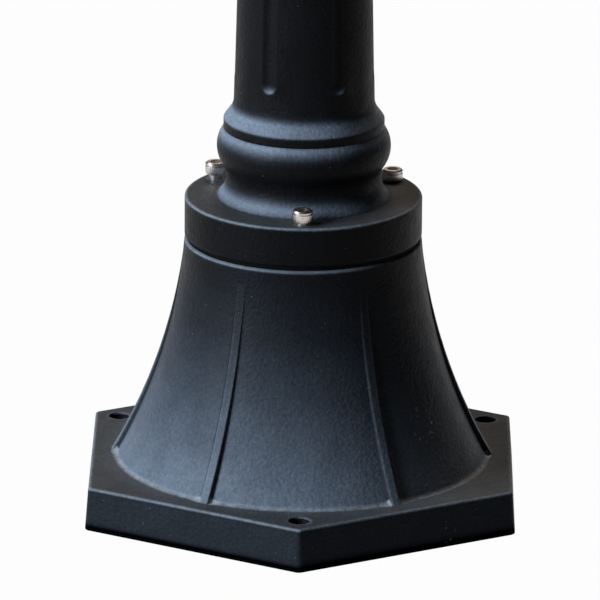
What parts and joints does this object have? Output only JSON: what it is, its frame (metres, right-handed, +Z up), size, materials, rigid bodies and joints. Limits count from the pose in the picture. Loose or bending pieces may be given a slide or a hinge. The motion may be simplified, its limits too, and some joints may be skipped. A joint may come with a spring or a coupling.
{
  "type": "garden lamp post",
  "caption": "Short black garden lamp post with a hexagonal plate, ribbed bell foot, bolted flange, fluted tapering shaft and a glazed hexagonal lantern under a flared roof.",
  "frame": {"origin": "on the ground at the post's axis, under the middle of the foot plate", "axes": "+Z up along the post; a corner of the hexagonal foot plate points to -Y, which is the front"},
  "size_m": [0.2092, 0.2404, 1.0496],
  "materials": {
    "black_coat": "satin black powder coat on cast aluminium, fine grained",
    "gasket_rubber": "matte black rubber",
    "stainless": "bright stainless steel",
    "zinc_steel": "zinc plated steel",
    "clear_glass": "clear polished glass",
    "bulb_clear": "thin clear glass",
    "porcelain": "white glazed porcelain",
    "brass": "plain brass",
    "nickel": "nickel plated",
    "white_plastic": "matte nylon"
  },
  "bodies": {
    "root": {"base_casting": "black_coat", "column_foot": "black_coat", "shaft": "black_coat", "capital": "black_coat", "lantern_floor": "black_coat", "lantern_ring": "black_coat", "roof": "black_coat", "roof_cap": "black_coat", "finial": "black_coat", "corner_bar_1": "black_coat", "corner_bar_2": "black_coat", "corner_bar_3": "black_coat", "corner_bar_4": "black_coat", "corner_bar_5": "black_coat", "corner_bar_6": "black_coat", "flange_gasket": "gasket_rubber", "flange_screws": "stainless", "roof_screws": "stainless", "lower_bar_screws": "stainless", "upper_bar_screws": "stainless", "pane_clips": "stainless", "wiring_tube": "zinc_steel", "tube_lower_washer": "zinc_steel", "tube_upper_washer": "zinc_steel", "tube_lower_nut": "zinc_steel", "tube_upper_nut": "zinc_steel", "terminal_fixings": "zinc_steel", "glass_pane_1": "clear_glass", "glass_pane_2": "clear_glass", "glass_pane_3": "clear_glass", "glass_pane_4": "clear_glass", "glass_pane_5": "clear_glass", "glass_pane_6": "clear_glass", "bulb_glass": "bulb_clear", "lampholder_body": "porcelain", "lampholder_shell": "brass", "lampholder_contact": "brass", "terminal_screws": "brass", "earth_screw": "brass", "earth_washer": "brass", "bulb_cap": "nickel", "terminal_block": "white_plastic"}
  },
  "joints": []
}
